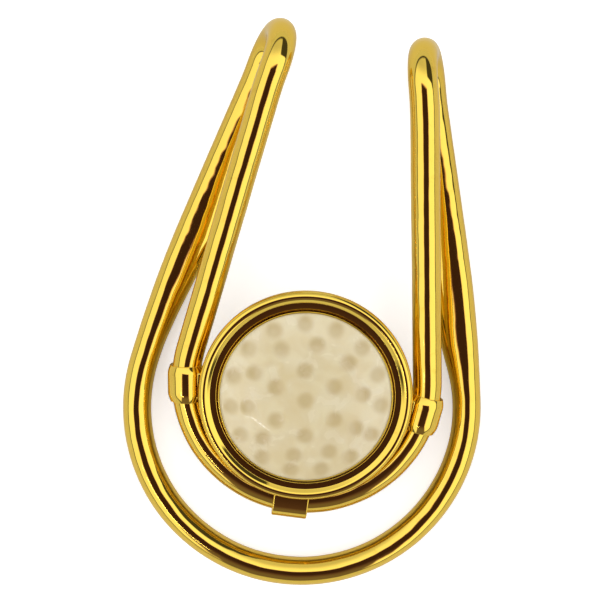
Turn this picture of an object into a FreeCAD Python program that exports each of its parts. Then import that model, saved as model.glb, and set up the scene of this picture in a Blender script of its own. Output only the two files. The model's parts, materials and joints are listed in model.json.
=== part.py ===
"""Sprung wire clip that carries a round, domed ball marker in a cup. Millimetres, +Z up.

The clip lies on its back: the wide back loop is flat on the surface, two tight bends turn the wire
over at the tips, and the narrower front loop slopes down over it and cradles the cup. The marker
sits in the cup, on a magnet, and faces up.
"""
import FreeCAD, Part
import math
import os

Vec = FreeCAD.Vector
X_AXIS, Z_AXIS = Vec(1, 0, 0), Vec(0, 0, 1)

# ---- driving dimensions ------------------------------------------------------------------------
wire_d = 3.2            # round spring wire
marker_d = 19.1         # marker, over its metal tray
marker_gap = 0.2        # radial clearance of the marker in the cup
bezel_w = 2.0           # width of the bezel ring, from the cup's bore to its outer edge
cradle_clear = 0.0      # front loop's inner edge to the bezel's outer edge, if they were centred
bezel_drop = 1.0        # cup's centre, towards the bottom of the front loop
side_gap = 2.1          # plan gap between front and back loops at the sides
bottom_gap = 5.5        # plan gap between front and back loops at the bottom
tip_reach = 34.1        # cradle centre to the start of the tip bends, in plan
tip_half_x = 9.6        # half the spacing of the back legs at the tips
tip_heading = 12.3      # how far the wire leans inwards at the tips, degrees
back_bow_start = 9.3    # where the back loop's round bottom opens into its side bows, degrees
back_leg_run = 15.5     # straight run of each back leg, between its side bow and its tip
tip_turn_r = 36.0       # radius of the short turns that line both legs up at a tip
swell_start = 5.0       # where each back leg starts to swell inwards, degrees up the loop's side
swell_spread = 15.5     # angle at which the swelling leaves the leg, degrees
swell_run = 6.0         # length over which it grows
swell_turn_r = 20.0     # radius of its turn back along the leg
swell_r = 1.0           # radius of the swelling's own rounded edge
swell_stop = 1.5        # where it has died out, short of the tip
bend_gap = 4.4          # clear gap inside a tip bend
bend_lean = 12.6        # inward lean of each tip bend, degrees
front_rise = 2.0        # front wire's lowest point above the back wire, centre to centre
seam_gap = 0.2          # gap between the two wire ends inside the bottom collar

cup_wall = 0.65         # cup wall round the marker's recess
cup_under = 1.4         # cup's underside below the front wire's centre plane
bezel_under = 1.75      # bezel's underside above that plane
seat_h = 1.0            # recess floor above that plane
cup_chamfer = 0.4
ledge_h = 2.5           # flat inner ledge of the bezel
rim_roll_r = 0.62       # rolled outer rim of the bezel
rim_roll_h = 2.2        # height of the roll's centre
rim_roll_turn = 125.0   # how far the roll goes round before it runs down to the ledge, degrees
rim_under_chamfer = 0.3

magnet_d, magnet_t = 10.0, 1.5
magnet_glue_t = 0.05
magnet_glue_side = 0.1
magnet_sunk = 0.05      # magnet's top below the recess floor

seat_gap = 0.02         # marker's underside above the recess floor
tray_t = 0.58           # tray's base
tray_rim_w = 0.16
tray_h = 1.75           # tray's full height
tray_edge_r = 0.08
face_glue_t = 0.05
face_gap = 0.02         # radial clearance of the face in its tray
face_side_h = 1.0       # straight side of the face
face_rise = 1.3         # dome of the face
dimple_d, dimple_depth = 1.7, 0.12
# Rings of dimples: how many, their share of the face's radius, the first one's angle from +X, and
# how far the ring's middle lies off the face's centre, towards -Y.
dimple_rings = ((1, 0.0, 98, 0.0), (6, 0.39, 98, 0.4), (10, 0.67, 86, 0.2), (15, 0.88, 98, 0.0))

collar_t = 0.42         # how far a side collar stands proud of the wire
side_collar_l = 4.1
collar_shoulder = 0.75  # length of its sloping shoulders
collar_step = 0.15      # height left at the shoulders' outer ends
side_collar_angle = -7.3    # place on the cradle, degrees from +X
bottom_collar_l = 3.9
bottom_collar_t = 0.42
bottom_collar_round = 0.45
neck_w, neck_up, neck_down = 3.0, 1.5, 1.1   # web from a collar to the cup's wall

# ---- what follows from them ----------------------------------------------------------------------
wire_r = wire_d / 2
recess_r = marker_d / 2 + marker_gap
cup_r = recess_r + cup_wall
bezel_r = recess_r + bezel_w
cradle_r = bezel_r + cradle_clear + wire_r
loop_r = cradle_r + wire_d + side_gap
loop_y = loop_r - (cradle_r + wire_d + bottom_gap)
bend_r = (bend_gap + wire_d) / 2


def plan(angle):
    """Unit vector at an angle from +X, degrees."""
    a = math.radians(angle)
    return Vec(math.cos(a), math.sin(a), 0)


def tangent_angle(centre_a, radius_a, centre_b, radius_b):
    """Angle of the normal shared by two circles and the line that leaves a and meets b.

    A negative radius puts circle b on the other side of the line. Also returns the line's length.
    """
    between = centre_b - centre_a
    reach = between.Length
    swing = math.acos((radius_a - radius_b) / reach)
    angle = math.degrees(math.atan2(between.y, between.x) - swing)
    return angle, reach * math.sin(swing)


# Right-hand tip: the wire leaves the back leg along `ahead` and turns over in the plane ahead/over.
tip = Vec(tip_half_x, tip_reach, wire_r)
ahead = plan(90 + tip_heading)
inward = plan(180 + tip_heading)
lean = math.radians(bend_lean)
over = Z_AXIS * math.cos(lean) + inward * math.sin(lean)
bend_centre = tip + over * bend_r


def bend_end(slope):
    """Extra turn beyond 180 degrees, end point and backward heading, for a front plane's slope."""
    s = math.radians(slope)
    normal = Vec(0, -math.sin(s), math.cos(s))
    extra = math.atan2(-ahead.dot(normal), over.dot(normal))
    end = bend_centre + (over * math.cos(extra) - ahead * math.sin(extra)) * bend_r
    back = ahead * math.cos(extra) + over * math.sin(extra)
    return math.degrees(extra), end, math.degrees(math.asin(-back.x))


# The front plane tips down from the bends until the cradle's lowest point is front_rise up.
front_slope = 0.0
for _ in range(30):
    extra_turn, front_end, front_heading = bend_end(front_slope)
    cradle_reach = front_end.y + cradle_r * math.cos(math.radians(front_slope))
    front_slope = math.degrees(math.atan2(front_end.z - wire_r - front_rise, cradle_reach))

# Everything is placed so that the whole object's plan is centred on the origin.
lowest_y = loop_y - loop_r - wire_r
highest_y = bend_centre.y + bend_r * math.cos(math.radians(tip_heading)) + wire_r
shift = Vec(0, -(lowest_y + highest_y) / 2, 0)

# The front plane's own frame: origin between the bends' ends, its y towards the tips.
front_place = FreeCAD.Placement(
    Vec(0, front_end.y, front_end.z) + shift, FreeCAD.Rotation(X_AXIS, front_slope))
cradle_centre = Vec(0, -front_end.y / math.cos(math.radians(front_slope)), 0)
cup_centre = cradle_centre - Vec(0, bezel_drop, 0)


# ---- building blocks -------------------------------------------------------------------------------
def fused(solids):
    """One solid from pieces that meet face to face or overlap."""
    joined = solids[0].multiFuse(solids[1:]).removeSplitter()
    return joined.Solids[0]


def disc_face(centre, normal, radius=wire_r):
    return Part.Face(Part.Wire(Part.Circle(centre, normal, radius).toShape()))


def flat_wire(start, angle, moves, thick_r=wire_r):
    """Wire bent in the XY plane: moves are ("run", length) or ("turn", radius, degrees left)."""
    pieces = []
    for kind, *size in moves:
        heading = plan(angle)
        section = disc_face(start, heading, thick_r)
        if kind == "run":
            pieces.append(section.extrude(heading * size[0]))
            start = start + heading * size[0]
        else:
            radius, turn = size
            side = 90 if turn > 0 else -90
            centre = start + plan(angle + side) * radius
            axis = Z_AXIS if turn > 0 else Z_AXIS * -1
            pieces.append(section.revolve(centre, axis, abs(turn)))
            angle += turn
            start = centre - plan(angle + side) * radius
    return fused(pieces)


def mirrored(shape):
    return shape.mirror(Vec(0, 0, 0), X_AXIS)


def round_body(outline, centre):
    """Body of revolution about Z from (radius, height) points; a 3-tuple of points is an arc."""
    edges = []
    at = Vec(outline[0][0], 0, outline[0][1])
    for step in outline[1:] + [outline[0]]:
        if isinstance(step[0], tuple):
            mid, end = (Vec(r, 0, h) for r, h in step)
            edges.append(Part.Arc(at, mid, end).toShape())
        else:
            end = Vec(step[0], 0, step[1])
            edges.append(Part.LineSegment(at, end).toShape())
        at = end
    body = Part.Face(Part.Wire(edges)).revolve(Vec(0, 0, 0), Z_AXIS, 360)
    body.translate(centre)
    return body


def in_front(shape):
    """From the front plane's own frame to the object's frame."""
    shape.Placement = front_place.multiply(shape.Placement)
    return shape


# ---- the wire --------------------------------------------------------------------------------------
def back_loop():
    outward = plan(back_bow_start)
    bow_start = Vec(0, loop_y, 0) + outward * loop_r
    turn_centre = Vec(tip.x, tip.y, 0) + plan(tip_heading) * tip_turn_r
    away = bow_start - turn_centre
    # The bow's radius is the one that leaves a straight run of back_leg_run up to the tip's turn.
    bow_r = (away.dot(away) - tip_turn_r ** 2 - back_leg_run ** 2) / (2 * (away.dot(outward) + tip_turn_r))
    print(f"side bow radius {bow_r:.1f}")
    leg_angle, _ = tangent_angle(bow_start - outward * bow_r, bow_r, turn_centre, -tip_turn_r)
    half = flat_wire(Vec(0, loop_y - loop_r, wire_r), 0, [
        ("turn", loop_r, 90 + back_bow_start),
        ("turn", bow_r, leg_angle - back_bow_start),
        ("run", back_leg_run),
        ("turn", tip_turn_r, tip_heading - leg_angle),
    ])
    swell = leg_swelling()
    loop = fused([half, mirrored(half), swell, mirrored(swell)])
    loop.translate(shift)
    return loop


def leg_swelling():
    """Inward swelling of the right back leg, from the loop's side up to the tip."""
    start = Vec(0, loop_y, wire_r) + plan(swell_start) * loop_r
    angle = 90 + swell_start + swell_spread
    turn_centre = start + plan(angle) * swell_run + plan(angle - 90) * swell_turn_r
    leg_angle, leg_length = tangent_angle(turn_centre, -swell_turn_r, tip, 0)
    return flat_wire(start, angle, [
        ("run", swell_run),
        ("turn", swell_turn_r, 90 + leg_angle - angle),
        ("run", leg_length - swell_stop),
    ], swell_r)


def right_spring_bend():
    section = disc_face(tip, ahead)
    bend = section.revolve(bend_centre, ahead.cross(over), 180 + extra_turn)
    bend.translate(shift)
    return bend.Solids[0]


def right_front_half(gap):
    """Right half of the front loop, in its own plane, with half the seam's gap left open."""
    turn_centre = Vec(front_end.x, 0, 0) - plan(front_heading) * tip_turn_r
    arm_angle, arm_length = tangent_angle(cradle_centre, cradle_r, turn_centre, tip_turn_r)
    skip = math.degrees(gap / 2 / cradle_r)
    return flat_wire(cradle_centre + plan(skip - 90) * cradle_r, skip, [
        ("turn", cradle_r, 90 + arm_angle - skip),
        ("run", arm_length),
        ("turn", tip_turn_r, front_heading - arm_angle),
    ])


# ---- the cup and its collars ---------------------------------------------------------------------
def cup_body():
    pocket_r = magnet_d / 2 + magnet_glue_side
    pocket_h = seat_h - magnet_sunk - magnet_t - magnet_glue_t
    return round_body([
        (0, -cup_under), (cup_r - cup_chamfer, -cup_under), (cup_r, -cup_under + cup_chamfer),
        (cup_r, bezel_under), (recess_r, bezel_under), (recess_r, seat_h),
        (pocket_r, seat_h), (pocket_r, pocket_h), (0, pocket_h),
    ], cup_centre)


def bezel_ring():
    roll_x = bezel_r - rim_roll_r

    def roll(angle):
        spot = plan(angle) * rim_roll_r
        return (roll_x + spot.x, rim_roll_h + spot.y)

    end = roll(rim_roll_turn)
    run_in = (end[1] - ledge_h) / math.tan(math.radians(rim_roll_turn - 90))
    return round_body([
        (recess_r, bezel_under), (bezel_r - rim_under_chamfer, bezel_under),
        (bezel_r, bezel_under + rim_under_chamfer), roll(0),
        (roll(rim_roll_turn / 2), end), (end[0] - run_in, ledge_h), (recess_r, ledge_h),
    ], cup_centre)


def magnet():
    top = seat_h - magnet_sunk
    body = Part.makeCylinder(magnet_d / 2, magnet_t, Vec(0, 0, top - magnet_t))
    body.translate(cup_centre)
    return body


def magnet_glue(held):
    radius = magnet_d / 2 + magnet_glue_side
    height = magnet_t + magnet_glue_t
    film = Part.makeCylinder(radius, height, Vec(0, 0, seat_h - magnet_sunk - height))
    film.translate(cup_centre)
    return film.cut(held).Solids[0]


def collar_cutters():
    """What a collar is cut to: the unbroken wire, the cup's outside and the bezel."""
    half = right_front_half(0)
    cup_block = Part.makeCylinder(cup_r, cup_under + bezel_under, cup_centre - Z_AXIS * cup_under)
    return [half, mirrored(half), cup_block, bezel_ring()]


def neck(spot):
    """Web from a collar's centre to the middle of the cup."""
    towards = cup_centre - spot
    block = Part.makeBox(towards.Length, neck_w, neck_up + neck_down, Vec(0, -neck_w / 2, -neck_down))
    turned = math.degrees(math.atan2(towards.y, towards.x))
    block.Placement = FreeCAD.Placement(spot, FreeCAD.Rotation(Z_AXIS, turned))
    return block


def biggest(shape):
    return max(shape.Solids, key=lambda solid: solid.Volume)


def side_collar(cutters):
    """Right-hand collar: a barrel round the wire with sloping shoulders, and its neck."""
    outer, end = wire_r + collar_t, wire_r + collar_step
    half = side_collar_l / 2
    barrel = round_body([
        (0, -half), (end, -half), (outer, -half + collar_shoulder),
        (outer, half - collar_shoulder), (end, half), (0, half),
    ], Vec(0, 0, 0))
    spot = cradle_centre + plan(side_collar_angle) * cradle_r
    along = plan(side_collar_angle + 90)
    barrel.Placement = FreeCAD.Placement(spot, FreeCAD.Rotation(Z_AXIS, along))
    return biggest(barrel.fuse(neck(spot)).cut(cutters))


def bottom_collar(cutters):
    """Collar over the wire's seam: a square sleeve with eased edges, and its neck."""
    size = wire_d + 2 * bottom_collar_t
    block = Part.makeBox(bottom_collar_l, size, size, Vec(-bottom_collar_l / 2, -size / 2, -size / 2))
    lengthwise = [edge for edge in block.Edges if abs(edge.tangentAt(0).x) > 0.9]
    block = block.makeFillet(bottom_collar_round, lengthwise)
    spot = cradle_centre - Vec(0, cradle_r, 0)
    block.translate(spot)
    return biggest(block.fuse(neck(spot)).cut(cutters))


# ---- the marker ------------------------------------------------------------------------------------
tray_h0 = seat_h + seat_gap
face_r = marker_d / 2 - tray_rim_w - face_gap
face_h0 = tray_h0 + tray_t + face_glue_t
face_edge_h = face_h0 + face_side_h
dome_r = (face_r ** 2 + face_rise ** 2) / (2 * face_rise)


def marker_tray():
    outer = marker_d / 2
    inner = outer - tray_rim_w
    top = tray_h0 + tray_h
    base = tray_h0 + tray_t
    return round_body([
        (0, tray_h0), (outer - tray_edge_r, tray_h0), (outer, tray_h0 + tray_edge_r),
        (outer, top - tray_edge_r), (outer - tray_edge_r, top), (inner, top),
        (inner, base), (0, base),
    ], cup_centre)


def marker_glue():
    film = Part.makeCylinder(face_r, face_glue_t, Vec(0, 0, tray_h0 + tray_t))
    film.translate(cup_centre)
    return film


def marker_face():
    """Domed disc with shallow round dimples in rings."""
    dome_base = face_edge_h - (dome_r - face_rise)
    # The spheres lie on their sides, which keeps their poles off the face.
    dome = Part.makeSphere(dome_r, Vec(0, 0, dome_base), X_AXIS * -1)
    body = Part.makeCylinder(face_r, face_side_h + face_rise, Vec(0, 0, face_h0)).common(dome)
    ball_r = (dimple_d ** 2 / 4 + dimple_depth ** 2) / (2 * dimple_depth)
    for count, share, first, off in dimple_rings:
        for i in range(count):
            flat = plan(first + 360 * i / count) * (share * face_r) - Vec(0, off, 0)
            out = flat / dome_r + Z_AXIS * math.sqrt(1 - flat.dot(flat) / dome_r ** 2)
            spot = Vec(0, 0, dome_base) + out * (dome_r - dimple_depth + ball_r)
            body = biggest(body.cut(Part.makeSphere(ball_r, spot, X_AXIS)))
    body.translate(cup_centre)
    return body


# ---- the whole object --------------------------------------------------------------------------------
def build():
    right_bend = right_spring_bend()
    right_wire = right_front_half(seam_gap)
    cutters = collar_cutters()
    right_collar = side_collar(cutters)
    held_magnet = magnet()
    nodes = {
        "back_loop": back_loop(),
        "right_spring_bend": right_bend,
        "left_spring_bend": mirrored(right_bend),
    }
    front = {
        "right_front_wire": right_wire,
        "left_front_wire": mirrored(right_wire),
        "right_collar": right_collar,
        "left_collar": mirrored(right_collar),
        "bottom_collar": bottom_collar(cutters),
        "cup_body": cup_body(),
        "bezel_ring": bezel_ring(),
        "magnet": held_magnet,
        "magnet_glue": magnet_glue(held_magnet),
        "marker_tray": marker_tray(),
        "marker_glue": marker_glue(),
        "marker_face": marker_face(),
    }
    nodes.update((name, in_front(shape)) for name, shape in front.items())
    return nodes


os.makedirs("parts", exist_ok=True)
pivot = bend_centre + shift
print(f"front slope {front_slope:.3f} deg, pivot y {pivot.y:.3f} z {pivot.z:.3f}")
for name, shape in build().items():
    shape.exportStep(f"parts/{name}.step")
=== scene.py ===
import bmesh
import bpy
import json
import math
from mathutils import Matrix, Vector, noise


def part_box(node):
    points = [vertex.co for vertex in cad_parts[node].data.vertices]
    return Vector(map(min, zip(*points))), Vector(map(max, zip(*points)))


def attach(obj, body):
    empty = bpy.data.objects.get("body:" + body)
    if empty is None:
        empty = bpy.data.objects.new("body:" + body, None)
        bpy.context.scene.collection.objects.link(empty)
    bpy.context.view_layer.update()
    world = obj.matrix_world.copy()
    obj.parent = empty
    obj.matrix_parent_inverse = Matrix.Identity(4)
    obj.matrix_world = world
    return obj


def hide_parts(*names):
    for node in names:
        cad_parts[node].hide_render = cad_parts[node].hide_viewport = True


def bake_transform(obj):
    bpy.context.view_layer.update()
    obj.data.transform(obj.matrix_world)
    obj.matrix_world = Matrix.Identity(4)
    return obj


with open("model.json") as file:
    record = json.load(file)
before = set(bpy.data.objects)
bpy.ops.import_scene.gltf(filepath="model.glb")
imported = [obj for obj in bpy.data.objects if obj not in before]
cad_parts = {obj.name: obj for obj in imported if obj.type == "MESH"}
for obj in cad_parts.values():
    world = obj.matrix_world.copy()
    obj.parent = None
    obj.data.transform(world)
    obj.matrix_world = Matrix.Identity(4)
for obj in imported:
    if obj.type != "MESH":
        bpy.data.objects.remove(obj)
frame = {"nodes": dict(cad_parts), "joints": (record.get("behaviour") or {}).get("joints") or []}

# A gold wire clip lies on its back. Its front loop cradles a cup with a domed, dimpled marker.
# Shapes are worked out in millimetres and scaled to metres as each piece is finished.
MM = 0.001
Z_AXIS = Vector((0, 0, 1))
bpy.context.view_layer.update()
joints = {joint["name"]: joint for joint in frame["joints"]}

# ---- the wire's dimensions ---------------------------------------------------------------------
wire_r = (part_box("back_loop")[1].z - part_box("back_loop")[0].z) / MM / 2
marker_r = 9.55
marker_gap = 0.2        # marker to the cup's wall
cup_wall = 0.65
bezel_w = 2.0
bezel_drop = 1.0        # cup's centre, towards the bottom of the front loop
side_gap = 2.1          # front loop to the back loop, at the sides
bottom_gap = 5.5        # and at the bottom
recess_r = marker_r + marker_gap
cup_r = recess_r + cup_wall
bezel_r = recess_r + bezel_w
cradle_r = bezel_r + wire_r
loop_r = cradle_r + 2 * wire_r + side_gap
loop_y = loop_r - (cradle_r + 2 * wire_r + bottom_gap)
tip_reach = 34.1
tip_half_x = 9.6
tip_heading = 12.3
tip_turn_r = 36.0
back_bow_start = 9.3
back_leg_run = 15.5
bend_half_gap = 2.2
bend_r = bend_half_gap + wire_r
bend_lean = 12.6
seam_gap = 0.2


def plan(angle):
    """Unit vector at an angle from +X, degrees."""
    a = math.radians(angle)
    return Vector((math.cos(a), math.sin(a), 0))


def tangent_angle(centre_a, radius_a, centre_b, radius_b):
    """Angle of the normal shared by two circles and their tangent line, and the line's length."""
    between = centre_b - centre_a
    reach = between.length
    swing = math.acos((radius_a - radius_b) / reach)
    angle = math.degrees(math.atan2(between.y, between.x) - swing)
    return angle, reach * math.sin(swing)


# The right-hand tip bend: the wire runs in along `ahead` and turns over in the plane ahead/over.
tip = Vector((tip_half_x, tip_reach, wire_r))
ahead = plan(90 + tip_heading)
lean = math.radians(bend_lean)
over = Z_AXIS * math.cos(lean) + plan(180 + tip_heading) * math.sin(lean)
bend_centre = tip + over * bend_r

# The front plane's normal is the way the marker lifts off.
front_up = Vector(joints["marker_lift"]["axis"]).normalized()
front_slope = math.asin(-front_up.y)
bend_extra = math.atan2(-ahead.dot(front_up), over.dot(front_up))
front_end = bend_centre + (over * math.cos(bend_extra) - ahead * math.sin(bend_extra)) * bend_r
wire_back = ahead * math.cos(bend_extra) + over * math.sin(bend_extra)
front_heading = math.degrees(math.asin(-wire_back.x))

# The hinge of the front loop lies on the bend's centre, which says where the whole is centred.
shift = Vector((0, joints["clip_flex"]["pos_m"][1] / MM - bend_centre.y, 0))
front_place = (Matrix.Translation(Vector((0, front_end.y, front_end.z)) + shift)
               @ Matrix.Rotation(front_slope, 4, "X"))
cradle_centre = Vector((0, -front_end.y / math.cos(front_slope), 0))
cup_place = front_place @ Matrix.Translation(cradle_centre - Vector((0, bezel_drop, 0)))


# ---- building blocks ---------------------------------------------------------------------------
def edges_of(geometry):
    return [part for part in geometry if isinstance(part, bmesh.types.BMEdge)]


def verts_of(geometry):
    return [part for part in geometry if isinstance(part, bmesh.types.BMVert)]


class Tube:
    """A round wire grown ring by ring. Each ring is kept with its centre, heading and distance."""

    sides = 64
    ring_gap = 0.45

    def __init__(self, start, heading, capped=True, radius=wire_r):
        self.bm = bmesh.new()
        self.centre = start.copy()
        self.heading = heading.normalized()
        self.travelled = 0.0
        sideways = Z_AXIS.cross(self.heading)
        upright = self.heading.cross(sideways)
        facing = Matrix((sideways, upright, self.heading)).transposed().to_4x4()
        bmesh.ops.create_circle(
            self.bm, cap_ends=capped, segments=self.sides, radius=radius,
            matrix=Matrix.Translation(start) @ facing)
        self.loop = self.bm.edges[:]
        self.rings = [(self.bm.verts[:], self.centre, self.heading, 0.0)]

    def grow(self, move, length):
        """One more ring: the last one, moved."""
        grown = bmesh.ops.extrude_edge_only(self.bm, edges=self.loop)["geom"]
        verts = verts_of(grown)
        bmesh.ops.transform(self.bm, matrix=move, verts=verts)
        known = set(verts)
        self.loop = [edge for edge in edges_of(grown) if known.issuperset(edge.verts)]
        self.centre = move @ self.centre
        self.heading = move.to_3x3() @ self.heading
        self.travelled += length
        self.rings.append((verts, self.centre, self.heading, self.travelled))

    def run(self, length):
        count = max(1, round(length / self.ring_gap))
        for _ in range(count):
            self.grow(Matrix.Translation(self.heading * length / count), length / count)

    def turn(self, centre, axis, angle):
        """On round an axis through a centre, by an angle in radians."""
        length = angle * (self.centre - centre).length
        count = max(2, round(length / self.ring_gap))
        there = Matrix.Translation(centre)
        move = there @ Matrix.Rotation(angle / count, 4, axis) @ there.inverted()
        for _ in range(count):
            self.grow(move, length / count)

    def flat_turn(self, radius, degrees):
        """Round to the left in the XY plane, or to the right if degrees is negative."""
        side = 1 if degrees > 0 else -1
        centre = self.centre + Z_AXIS.cross(self.heading) * radius * side
        self.turn(centre, Z_AXIS * side, math.radians(abs(degrees)))

    def cap(self):
        bmesh.ops.contextual_create(self.bm, geom=self.loop)


def turned(outline, sides=256):
    """Body of revolution about Z from (radius, height) points, with the axis left as it is."""
    bm = bmesh.new()
    verts = [bm.verts.new((radius, 0, height)) for radius, height in outline]
    on_axis = outline[0][0] == 0 and outline[-1][0] == 0
    for first, second in zip(verts, verts[1:] + ([] if on_axis else verts[:1])):
        bm.edges.new((first, second))
    bmesh.ops.spin(
        bm, geom=bm.verts[:] + bm.edges[:], cent=(0, 0, 0), axis=Z_AXIS, dvec=(0, 0, 0),
        angle=2 * math.pi, steps=sides, use_merge=True, use_duplicate=False)
    return bm


def corner(before, point, after, size, count=6):
    """Points of a rounded corner of an outline, tangent to both of its sides."""
    point = Vector(point)
    to_before = (Vector(before) - point).normalized()
    to_after = (Vector(after) - point).normalized()
    half = to_before.angle(to_after) / 2
    middle = point + (to_before + to_after).normalized() * size / math.sin(half)
    first = point + to_before * size / math.tan(half) - middle
    last = point + to_after * size / math.tan(half) - middle
    turn = first.angle_signed(last)
    spots = []
    for i in range(count + 1):
        spot = middle + Matrix.Rotation(-turn * i / count, 2) @ first
        spots.append((spot.x, spot.y))
    return spots


def eased(points, sizes, closed=True):
    """An outline with its corners rounded: one size a point, 0 for a sharp one."""
    spots = []
    last = len(points) - 1
    for i, (point, size) in enumerate(zip(points, sizes)):
        if size == 0 or (not closed and i in (0, last)):
            spots.append(tuple(point))
        else:
            spots += corner(points[i - 1], point, points[(i + 1) % len(points)], size)
    return spots


def arc_points(centre, radius, start, end, count):
    """Points of an arc of an outline, by angles in degrees."""
    spots = []
    for i in range(count + 1):
        spot = Vector(centre) + plan(start + (end - start) * i / count).xy * radius
        spots.append((spot.x, spot.y))
    return spots


def join(bm, other):
    """Adds another bmesh's pieces to the first."""
    spare = bpy.data.meshes.new("spare")
    other.to_mesh(spare)
    other.free()
    bm.from_mesh(spare)
    bpy.data.meshes.remove(spare)


def finished(bm, name, slot, body=None, replaces=(), sharp=35):
    """Turns a bmesh in millimetres into a piece in metres, with true normals and crisp edges."""
    bmesh.ops.remove_doubles(bm, verts=bm.verts, dist=1e-4)
    bmesh.ops.recalc_face_normals(bm, faces=bm.faces)
    for face in bm.faces:
        face.smooth = True
    for edge in bm.edges:
        edge.smooth = edge.calc_face_angle(0) < math.radians(sharp)
    bmesh.ops.scale(bm, vec=(MM, MM, MM), verts=bm.verts)
    mesh = bpy.data.meshes.new(name)
    bm.to_mesh(mesh)
    bm.free()
    piece = bpy.data.objects.new(name, mesh)
    bpy.context.scene.collection.objects.link(piece)
    mesh.materials.append(finishes[slot])
    if body:
        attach(piece, body)
    if replaces:
        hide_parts(*replaces)
    return piece


def mirror_x(bm):
    bmesh.ops.scale(bm, vec=(-1, 1, 1), verts=bm.verts)


def smooth_step(low, high, value):
    """0 below low, 1 above high, and an even curve between them."""
    t = min(1.0, max(0.0, (value - low) / (high - low)))
    return t * t * (3 - 2 * t)


# ---- materials ---------------------------------------------------------------------------------
class Level:
    """A number that changes over a surface. Arithmetic on it adds Math nodes."""

    def __init__(self, owner, socket):
        self.owner = owner
        self.socket = socket

    def __add__(self, other):
        return self.owner.math("ADD", self, other)

    def __sub__(self, other):
        return self.owner.math("SUBTRACT", self, other)

    def __rsub__(self, other):
        return self.owner.math("SUBTRACT", other, self)

    def __mul__(self, other):
        return self.owner.math("MULTIPLY", self, other)

    __radd__ = __add__
    __rmul__ = __mul__


class Nodes:
    """A node tree being built."""

    def __init__(self, tree):
        self.nodes = tree.nodes
        self.links = tree.links

    def node(self, kind, settings=None, inputs=None, out=0):
        """Adds a node: settings first, then its sockets' values or links."""
        made = self.nodes.new("ShaderNode" + kind)
        for key, value in (settings or {}).items():
            setattr(made, key, value)
        self.feed(made, inputs or {})
        return Level(self, made.outputs[out])

    def feed(self, made, inputs):
        for key, value in inputs.items():
            if isinstance(value, Level):
                self.links.new(value.socket, made.inputs[key])
            else:
                made.inputs[key].default_value = value

    def math(self, operation, *values):
        return self.node("Math", {"operation": operation}, dict(enumerate(values)))

    def mix(self, share, first, second):
        """A colour between two colours."""
        return self.node("Mix", {"data_type": "RGBA"}, {0: share, 6: first, 7: second}, 2)

    def between(self, value, low, high):
        """0 where the value is under low and 1 where it is over high."""
        return self.node("MapRange", {"interpolation_type": "SMOOTHSTEP"}, {
            "Value": value, "From Min": low, "From Max": high})


class Finish(Nodes):
    """A material being made."""

    def __init__(self, name):
        self.material = bpy.data.materials.new(name)
        self.material.use_nodes = True
        super().__init__(self.material.node_tree)
        self.shader = self.nodes["Principled BSDF"]
        self.place = self.node("TexCoord", out="Object")

    def noise(self, size, detail=2.0, roughness=0.5, distortion=0.0, place=None):
        """Cloudy noise whose blotches are about `size` metres across."""
        return self.node("TexNoise", None, {
            "Vector": place or self.place, "Scale": 1 / size, "Detail": detail,
            "Roughness": roughness, "Distortion": distortion}, "Fac")

    def stretched(self, scale):
        """Object coordinates, stretched."""
        return self.node("Mapping", None, {"Vector": self.place, "Scale": scale})

    def bump(self, height, depth, below=None):
        inputs = {"Height": height, "Distance": depth}
        if below:
            inputs["Normal"] = below
        return self.node("Bump", None, inputs)

    def give(self, **inputs):
        """Sets the shader's sockets: Base_Color means Base Color."""
        self.feed(self.shader, {key.replace("_", " "): value for key, value in inputs.items()})
        return self.material


def polished_gold(name, ripple, shine):
    """Mirror-polished gold plate: slow ripples, fine polishing hairs and a few dull blotches."""
    finish = Finish(name)
    cloud = finish.noise(0.006, 3.0)
    worn = finish.between(finish.noise(0.0016, 4.0, 0.6), 0.58, 0.74)
    hairs = finish.noise(0.0004, 3.0, 0.7, place=finish.stretched((1, 0.12, 1)))
    pits = finish.between(finish.noise(0.00022, 2.0), 0.70, 0.78)
    colour = finish.mix(cloud, (0.94, 0.68, 0.12, 1), (0.90, 0.62, 0.09, 1))
    colour = finish.mix(worn * 0.35, colour, (0.74, 0.46, 0.06, 1))
    rough = shine + worn * 0.05 + hairs * 0.03 + pits * 0.1
    waves = finish.bump(finish.noise(0.0032, 1.0), ripple)
    normal = finish.bump(hairs, 0.0000012, waves)
    return finish.give(Base_Color=colour, Roughness=rough, Metallic=1.0, Normal=normal)


def pearl_resin():
    """Glossy cream resin with paler swirls, and painted shade that darkens it in the dimples."""
    finish = Finish("pearl_face")
    # each dimple's painted shade, read from the face's vertices
    dimple_shade = finish.node("Attribute", {"attribute_name": "dimple"}, out="Fac")
    swirl = finish.noise(0.0042, 2.0, 0.5, 1.2)
    cloud = finish.noise(0.0021, 2.0, 0.45, 0.5)
    grain = finish.noise(0.00025, 2.0)
    cream = finish.mix(finish.between(swirl, 0.32, 0.68), (0.74, 0.63, 0.365, 1), (0.80, 0.71, 0.45, 1))
    cream = finish.mix(finish.between(cloud, 0.35, 0.85) * 0.4, cream, (0.84, 0.79, 0.62, 1))
    # painted shade: the cream darkens in the dimples, standing in for the dimmer light in their hollows
    cream = finish.mix(dimple_shade * (0.40 + cloud * 0.35), cream, (0.50, 0.37, 0.15, 1))
    cream = finish.mix(grain * 0.12, cream, (0.58, 0.48, 0.28, 1))
    rough = 0.20 + cloud * 0.12
    normal = finish.bump(finish.noise(0.0015, 2.0), 0.00001)
    return finish.give(
        Base_Color=cream, Roughness=rough, Normal=normal, Coat_Weight=0.5, Coat_Roughness=0.06,
        Subsurface_Weight=0.12, Subsurface_Scale=0.0006, Subsurface_Radius=(1.0, 0.8, 0.45))


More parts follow.
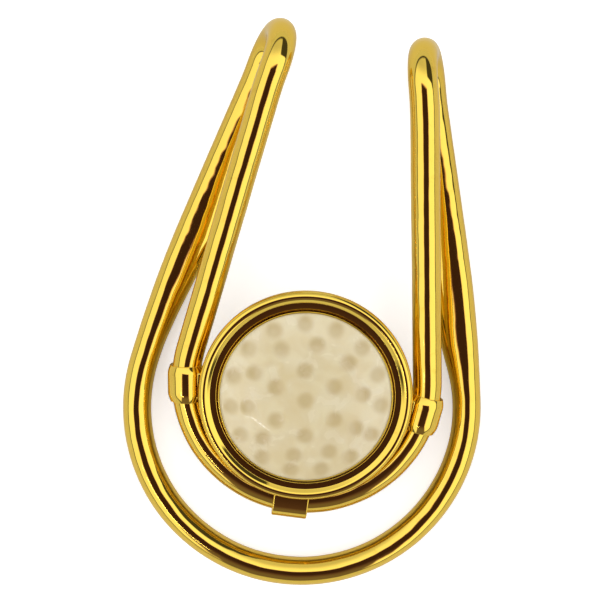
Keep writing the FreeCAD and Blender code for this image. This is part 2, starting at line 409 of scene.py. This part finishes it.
def nickel_plate():
    finish = Finish("magnet_plate")
    cloud = finish.noise(0.002, 3.0)
    colour = finish.mix(cloud, (0.62, 0.61, 0.60, 1), (0.50, 0.50, 0.51, 1))
    normal = finish.bump(finish.noise(0.0003, 3.0), 0.000004)
    return finish.give(Base_Color=colour, Roughness=0.25 + cloud * 0.2, Metallic=1.0, Normal=normal)


def cured_glue():
    finish = Finish("clear_glue")
    cloud = finish.noise(0.0012, 3.0)
    colour = finish.mix(cloud, (0.62, 0.55, 0.36, 1), (0.50, 0.42, 0.25, 1))
    normal = finish.bump(cloud, 0.00002)
    return finish.give(Base_Color=colour, Roughness=0.35 + cloud * 0.2, Normal=normal)


finishes = {
    "gold_wire": polished_gold("gold_wire", 0.00009, 0.05),
    "gold_cup": polished_gold("gold_cup", 0.000012, 0.05),
    "gold_tray": polished_gold("gold_tray", 0.000006, 0.07),
    "pearl_face": pearl_resin(),
    "magnet_plate": nickel_plate(),
    "clear_glue": cured_glue(),
}


# ---- the wire ----------------------------------------------------------------------------------
wobble = 0.02       # how far the hand-bent wire strays
wobble_gap = 7.0    # over about this length
wobble_hold = 4.0   # and how near its ends it runs true
thinning = 0.012    # share by which it thins in places
noise.seed_set(1)   # Blender starts noise_vector from the time, so without this each run differs


def stray(tube, seed):
    """Makes a tube very slightly uneven, but not near its ends."""
    whole = tube.travelled
    for verts, centre, heading, travelled in tube.rings:
        hold = smooth_step(0, wobble_hold, travelled) * smooth_step(0, wobble_hold, whole - travelled)
        spot = Vector((travelled / wobble_gap, seed, 0))
        aside = noise.noise_vector(spot) * wobble * hold
        girth = 1 - abs(noise.noise(spot * 1.7)) * thinning * hold
        for vert in verts:
            vert.co = centre + (vert.co - centre) * girth + aside


# Where each back leg swells inwards, by distance from the middle of the loop's bottom.
swell_from, swell_gone = 32.5, 66.0
swell_full = {"left": 48.0, "right": 41.5}
swell_out = {"left": 1.25, "right": 1.2}
swell_shape = 1.4   # how much of the swelling is on the side that faces inwards


def leg_swelling(tube, side):
    """Swells a back leg on its inner side."""
    for verts, centre, heading, travelled in tube.rings:
        inward = Z_AXIS.cross(heading)
        amount = (smooth_step(swell_from, swell_full[side], travelled)
                  * (1 - smooth_step(swell_full[side], swell_gone, travelled)) * swell_out[side])
        for vert in verts:
            facing = max(0.0, (vert.co - centre).dot(inward) / wire_r)
            vert.co += inward * amount * facing ** swell_shape


def back_half(side):
    """Half of the back loop, made as the right one."""
    outward = plan(back_bow_start)
    bow_start = Vector((0, loop_y, 0)) + outward * loop_r
    turn_centre = tip.xy.to_3d() + plan(tip_heading) * tip_turn_r
    away = bow_start - turn_centre
    bow_r = (away.dot(away) - tip_turn_r ** 2 - back_leg_run ** 2) / (2 * (away.dot(outward) + tip_turn_r))
    leg_angle, _ = tangent_angle(bow_start - outward * bow_r, bow_r, turn_centre, -tip_turn_r)
    tube = Tube(Vector((0, loop_y - loop_r, wire_r)), Vector((1, 0, 0)), capped=False)
    tube.flat_turn(loop_r, 90 + back_bow_start)
    tube.flat_turn(bow_r, leg_angle - back_bow_start)
    tube.run(back_leg_run)
    tube.flat_turn(tip_turn_r, tip_heading - leg_angle)
    tube.cap()
    stray(tube, len(side))
    leg_swelling(tube, side)
    bmesh.ops.translate(tube.bm, vec=shift, verts=tube.bm.verts)
    return tube.bm


def back_wire():
    bm = back_half("right")
    left = back_half("left")
    mirror_x(left)
    join(bm, left)
    finished(bm, "back_wire", "gold_wire", "back_frame", ["back_loop"])


def spring_bend(side):
    tube = Tube(tip, ahead)
    tube.turn(bend_centre, ahead.cross(over), math.pi + bend_extra)
    tube.cap()
    bmesh.ops.translate(tube.bm, vec=shift, verts=tube.bm.verts)
    if side == "left":
        mirror_x(tube.bm)
    piece = finished(tube.bm, side + "_bend_wire", "gold_wire", None, [side + "_spring_bend"])
    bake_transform(piece)


def front_arm(side):
    """One arm of the front loop, from the seam at the cradle's bottom to its tip bend."""
    turn_centre = Vector((front_end.x, 0, 0)) - plan(front_heading) * tip_turn_r
    arm_angle, arm_length = tangent_angle(cradle_centre, cradle_r, turn_centre, tip_turn_r)
    skip = math.degrees(seam_gap / 2 / cradle_r)
    tube = Tube(cradle_centre + plan(skip - 90) * cradle_r, plan(skip))
    tube.flat_turn(cradle_r, 90 + arm_angle - skip)
    tube.run(arm_length)
    tube.flat_turn(tip_turn_r, front_heading - arm_angle)
    tube.cap()
    stray(tube, len(side) + 5)
    tube.bm.transform(front_place)
    if side == "left":
        mirror_x(tube.bm)
    finished(tube.bm, side + "_arm_wire", "gold_wire", "front_frame", [side + "_front_wire"])


# ---- the cup, its bezel and the collars ----------------------------------------------------------
cup_under, bezel_under, seat_h, ledge_h = -1.4, 1.75, 1.0, 2.5
roll_r, roll_h, roll_turn = 0.62, 2.2, 125
magnet_pocket_r, magnet_pocket_h = 5.1, -0.6
cup_foot_ease, cup_step_ease, magnet_pocket_ease = 0.45, 0.1, 0.08
ledge_ease, lip_ease, bezel_foot_ease = 0.12, 0.08, 0.3


def cup_shell():
    """Cup under the bezel, with a pocket for the magnet in its floor."""
    points = [
        (0, cup_under), (cup_r, cup_under), (cup_r, bezel_under), (recess_r, bezel_under),
        (recess_r, seat_h), (magnet_pocket_r, seat_h), (magnet_pocket_r, magnet_pocket_h),
        (0, magnet_pocket_h)]
    sizes = [0, cup_foot_ease, 0, 0, cup_step_ease, magnet_pocket_ease, magnet_pocket_ease, 0]
    bm = turned(eased(points, sizes, closed=False))
    bm.transform(cup_place)
    finished(bm, "cup_shell", "gold_cup", "front_frame", ["cup_body"])


def cup_bezel():
    """Ring with a rolled rim that runs down to a flat ledge round the marker."""
    roll_x = bezel_r - roll_r
    roll = arc_points((roll_x, roll_h), roll_r, 0, roll_turn, 28)
    steep = math.tan(math.radians(roll_turn - 90))
    foot = roll[-1][0] - (roll[-1][1] - ledge_h) / steep
    ledge = corner(roll[-1], (foot, ledge_h), (recess_r, ledge_h), ledge_ease)
    lip = corner(ledge[-1], (recess_r, ledge_h), (recess_r, bezel_under), lip_ease)
    under = corner((recess_r, bezel_under), (bezel_r, bezel_under), (bezel_r, roll_h), bezel_foot_ease)
    bm = turned([(recess_r, bezel_under)] + under + roll + ledge + lip, 320)
    bm.transform(cup_place)
    finished(bm, "cup_bezel", "gold_cup", "front_frame", ["bezel_ring"], sharp=50)


side_collar_angle, side_collar_half = -7.3, 2.05
collar_proud, collar_step, collar_shoulder, collar_bore_r = 0.42, 0.15, 0.75, 1.45
shoulder_ease, collar_end_ease = 2.0, 0.08
bottom_collar_half, bottom_collar_proud = 1.95, 0.42
bottom_collar_round, bottom_collar_ease = 1.45, 0.12
neck_from, neck_into_cup = 1.2, 0.4     # a neck's start from its collar, and its reach into the cup
neck_half_w, neck_down, neck_up, neck_ease = 1.5, 1.1, 1.5, 0.18


def block(low, high, ease):
    """A box with its edges rounded."""
    bm = bmesh.new()
    size = Vector(high) - Vector(low)
    middle = (Vector(high) + Vector(low)) / 2
    bmesh.ops.create_cube(bm, size=1, matrix=Matrix.Translation(middle) @ Matrix.Diagonal(size).to_4x4())
    bmesh.ops.bevel(
        bm, geom=bm.edges[:], offset=ease, offset_type="OFFSET", segments=5, profile=0.5,
        affect="EDGES", material=-1)
    return bm


def neck(spot):
    """Web between a collar and the cup's wall."""
    towards = cradle_centre - Vector((0, bezel_drop, 0)) - spot
    neck_to = towards.length - cup_r + neck_into_cup
    bm = block((neck_from, -neck_half_w, -neck_down), (neck_to, neck_half_w, neck_up), neck_ease)
    turn = math.atan2(towards.y, towards.x)
    bm.transform(Matrix.Translation(spot) @ Matrix.Rotation(turn, 4, "Z"))
    return bm


def side_collar(side):
    """Barrel round the wire with sloping shoulders, and its neck."""
    outer, end, half = wire_r + collar_proud, wire_r + collar_step, side_collar_half
    points = [
        (collar_bore_r, -half), (end, -half), (outer, -half + collar_shoulder),
        (outer, half - collar_shoulder), (end, half), (collar_bore_r, half)]
    sizes = [0, collar_end_ease, shoulder_ease, shoulder_ease, collar_end_ease, 0]
    bm = turned(eased(points, sizes), 96)
    spot = cradle_centre + plan(side_collar_angle) * cradle_r
    along = plan(side_collar_angle + 90)
    bm.transform(Matrix.Translation(spot) @ along.to_track_quat("Z", "Y").to_matrix().to_4x4())
    join(bm, neck(spot))
    bm.transform(front_place)
    if side == "left":
        mirror_x(bm)
    finished(bm, side + "_collar_band", "gold_cup", "front_frame", [side + "_collar"])


tiny = 0.01


def edge_run(edge):
    """How far an edge reaches along X."""
    return abs(edge.verts[0].co.x - edge.verts[1].co.x)


def bottom_collar():
    """Square sleeve over the wire's seam."""
    spot = cradle_centre - Vector((0, cradle_r, 0))
    half, reach = bottom_collar_half, wire_r + bottom_collar_proud
    bm = bmesh.new()
    size = Vector((half, reach, reach)) * 2
    bmesh.ops.create_cube(bm, size=1, matrix=Matrix.Diagonal(size).to_4x4())
    lengthwise = [edge for edge in bm.edges if edge_run(edge) > half]
    bmesh.ops.bevel(
        bm, geom=lengthwise, offset=bottom_collar_round, offset_type="OFFSET", segments=14, profile=0.5,
        affect="EDGES", material=-1)
    ends = [edge for edge in bm.edges
            if abs(edge.verts[0].co.x) > half - tiny and edge_run(edge) < tiny]
    bmesh.ops.bevel(
        bm, geom=ends, offset=bottom_collar_ease, offset_type="OFFSET", segments=4, profile=0.5,
        affect="EDGES", material=-1)
    bmesh.ops.translate(bm, vec=spot, verts=bm.verts)
    join(bm, neck(spot))
    bm.transform(front_place)
    finished(bm, "bottom_collar_band", "gold_cup", "front_frame", ["bottom_collar"])


# ---- the marker ----------------------------------------------------------------------------------
tray_base, tray_floor, tray_top = 1.02, 1.60, 2.77
tray_rim_w, tray_foot_ease, tray_rim_ease = 0.16, 0.12, 0.07
face_base, face_edge_h, face_rise = 1.65, 2.65, 1.3
face_gap, face_edge_ease, face_edge_drop = 0.02, 0.14, 0.02
face_r = marker_r - tray_rim_w - face_gap
dome_r = (face_r ** 2 + face_rise ** 2) / (2 * face_rise)
dimple_r, dimple_depth = 1.1, 0.09
dimple_fade_from, dimple_fade_to = 0.5, 0.1     # in from the face's edge, where dimples die out
dimple_shade_from, dimple_shade_to = 0.4, 1.15    # shares of a dimple's radius, where its painted shade fades
# Rings of dimples: how many, their share of the face's radius, the first one's angle, and how far
# the ring's middle lies off the face's centre.
dimple_rings = ((1, 0.0, 98, 0.0), (6, 0.39, 98, 0.4), (10, 0.67, 86, 0.2), (15, 0.88, 98, 0.0))


def marker_tray():
    """Thin metal tray that holds the marker's face."""
    inner = marker_r - tray_rim_w
    points = [
        (0, tray_base), (marker_r, tray_base), (marker_r, tray_top), (inner, tray_top),
        (inner, tray_floor), (0, tray_floor)]
    bm = turned(eased(points, [0, tray_foot_ease, tray_rim_ease, tray_rim_ease, 0, 0], closed=False))
    bm.transform(cup_place)
    finished(bm, "tray_shell", "gold_tray", "marker", ["marker_tray"])


def dimple_centres():
    """Plan places of the dimples, about the face's centre."""
    centres = []
    for count, share, start, off in dimple_rings:
        for i in range(count):
            centres.append(plan(start + 360 * i / count) * share * face_r - Vector((0, off, 0)))
    return centres


def marker_face():
    """Domed disc with soft dimples, each marked in an attribute for the painted shade in its hollow."""
    edge_middle = (face_r - face_edge_ease, face_edge_h - face_edge_drop)
    edge = arc_points(edge_middle, face_edge_ease, 0, 75, 6)
    rise = face_edge_h + face_rise - dome_r
    start = math.degrees(math.atan2(edge[-1][1] - rise, edge[-1][0]))
    dome = arc_points((0, rise), dome_r, start, 90, 72)
    dome[-1] = (0, dome[-1][1])
    bm = turned([(0, face_base), (face_r, face_base)] + edge + dome, 288)
    dimple_shade = bm.verts.layers.float.new("dimple")
    centres = dimple_centres()
    for vert in bm.verts:
        if vert.co.z < face_edge_h - 0.1:
            continue
        plan_spot = vert.co.xy.to_3d()
        nearest = min((plan_spot - centre).length for centre in centres)
        dip = 1 - smooth_step(0.0, dimple_r, nearest)
        edge_hold = 1 - smooth_step(face_r - dimple_fade_from, face_r - dimple_fade_to, plan_spot.length)
        vert.co.z -= dip * dimple_depth * edge_hold
        # painted shade: how far into a dimple the vertex lies, for the material to darken it
        vert[dimple_shade] = 1 - smooth_step(dimple_shade_from * dimple_r, dimple_shade_to * dimple_r, nearest)
    bm.transform(cup_place)
    finished(bm, "pearl_dome", "pearl_face", "marker", ["marker_face"])


back_wire()
for side in ("left", "right"):
    spring_bend(side)
    front_arm(side)
    side_collar(side)
bottom_collar()
cup_shell()
cup_bezel()
marker_tray()
marker_face()
for node, slot in (("magnet", "magnet_plate"), ("magnet_glue", "clear_glue"), ("marker_glue", "clear_glue")):
    mesh = frame["nodes"][node].data
    mesh.materials.clear()
    mesh.materials.append(finishes[slot])


# ---- floor, light and camera -----------------------------------------------------------------------
floor_half = 1.5
floor_drop = 0.00002    # the floor lies this far below the object


def pale_floor():
    """White to look at, and dimmer where the metal mirrors it, as paper in a soft shade is."""
    finish = Finish("pale_floor")
    cloud = finish.noise(0.2, 2.0)
    colour = finish.mix(cloud, (0.90, 0.90, 0.90, 1), (0.87, 0.87, 0.87, 1))
    finish.give(Base_Color=colour, Roughness=0.9, Emission_Color=(1, 1, 1, 1), Emission_Strength=0.5)
    dim = finish.node("BsdfDiffuse", None, {"Color": (0.72, 0.70, 0.64, 1)})
    seen = finish.node("LightPath", out="Is Camera Ray")
    bright = Level(finish, finish.shader.outputs[0])
    both = finish.node("MixShader", None, {0: seen, 1: dim, 2: bright})
    finish.feed(finish.nodes["Material Output"], {"Surface": both})
    bm = bmesh.new()
    bmesh.ops.create_grid(bm, x_segments=1, y_segments=1, size=floor_half)
    bmesh.ops.translate(bm, vec=(0, 0, -floor_drop), verts=bm.verts)
    mesh = bpy.data.meshes.new("floor")
    bm.to_mesh(mesh)
    bm.free()
    mesh.materials.append(finish.material)
    floor = bpy.data.objects.new("floor", mesh)
    bpy.context.scene.collection.objects.link(floor)


def studio_light():
    """Bright sides, a dimmer band near the floor, and a warm dark gap overhead that runs to -Y.

    The camera sees plain white. Dull surfaces get a little more light than mirrors show.
    """
    world = bpy.data.worlds.new("studio")
    bpy.context.scene.world = world
    world.use_nodes = True
    sky = Nodes(world.node_tree)
    towards = sky.node("TexCoord", out="Generated")
    across = sky.node("SeparateXYZ", None, {0: towards}, 0)
    along = sky.node("SeparateXYZ", None, {0: towards}, 1)
    height = sky.node("SeparateXYZ", None, {0: towards}, 2)
    aside = sky.math("ABSOLUTE", across + along * 0.10 + 0.01)
    outside_gap = sky.between(aside, 0.30, 0.40)
    past_gap = sky.between(along, 0.02, 0.10)
    gap = (1 - outside_gap) * (1 - past_gap) * sky.between(height, 0.22, 0.36)
    low_front = sky.between(along * -1, 0.3, 0.8)
    gap_dark = 0.03 + 0.13 * low_front
    low_sky = 0.62 * (1 - sky.between(height, 0.26, 0.30))
    far_side = sky.between(along, 0.30, 0.75)
    corner_shade = sky.between(across, 0.10, 0.40) * sky.between(along, 0.15, 0.45)
    lit_height = height - corner_shade * 0.45
    high_sky = sky.between(lit_height, 0.33, 0.42) * (1.20 - 0.55 * far_side + 0.10 * across)
    level = (0.06 + low_sky + high_sky) * (1 - gap) + gap_dark * gap
    warmth = sky.mix(gap * (1 - low_front * 0.7), (1, 1, 1, 1), (1.45, 0.66, 0.9, 1))
    glow = sky.node("Mix", {"data_type": "RGBA", "blend_type": "MULTIPLY"}, {0: 1.0, 6: level, 7: warmth}, 2)
    seen = sky.node("LightPath", out="Is Camera Ray")
    soft = sky.node("LightPath", out="Is Diffuse Ray")
    background = sky.nodes["Background"]
    sky.feed(background, {"Color": sky.mix(seen, glow, (1, 1, 1, 1)), "Strength": 1.0 + soft * 0.35})


def lamp(name, spot, size, power, aim=(0, -0.008, 0.005)):
    light = bpy.data.lights.new(name, "AREA")
    light.shape = "RECTANGLE"
    light.size, light.size_y = size
    light.energy = power
    holder = bpy.data.objects.new(name, light)
    bpy.context.scene.collection.objects.link(holder)
    holder.location = spot
    holder.rotation_euler = (Vector(aim) - Vector(spot)).to_track_quat("-Z", "Y").to_euler()


camera_distance = 0.1696
camera_aim = Vector((-0.00182, 0.00087, 0))
camera_tilt, camera_swing, camera_roll = 3.889, 1.406, -7.586
camera_lens = 89.5


def make_camera():
    camera = bpy.data.cameras.new("camera")
    camera.lens = camera_lens
    camera.sensor_width = 36
    camera.clip_start, camera.clip_end = 0.005, 20
    holder = bpy.data.objects.new("camera", camera)
    bpy.context.scene.collection.objects.link(holder)
    turn = (Matrix.Rotation(math.radians(camera_roll), 3, "Z")
            @ Matrix.Rotation(math.radians(camera_tilt), 3, "X")
            @ Matrix.Rotation(math.radians(camera_swing), 3, "Y"))
    back = turn.transposed()
    holder.matrix_world = (Matrix.Translation(camera_aim + back @ Vector((0, 0, camera_distance)))
                           @ back.to_4x4())
    bpy.context.scene.camera = holder


pale_floor()
studio_light()
lamp("window_strip", (-0.17, -0.28, 0.44), (0.18, 0.006), 0.05)
make_camera()
bpy.context.scene.view_settings.view_transform = "Standard"
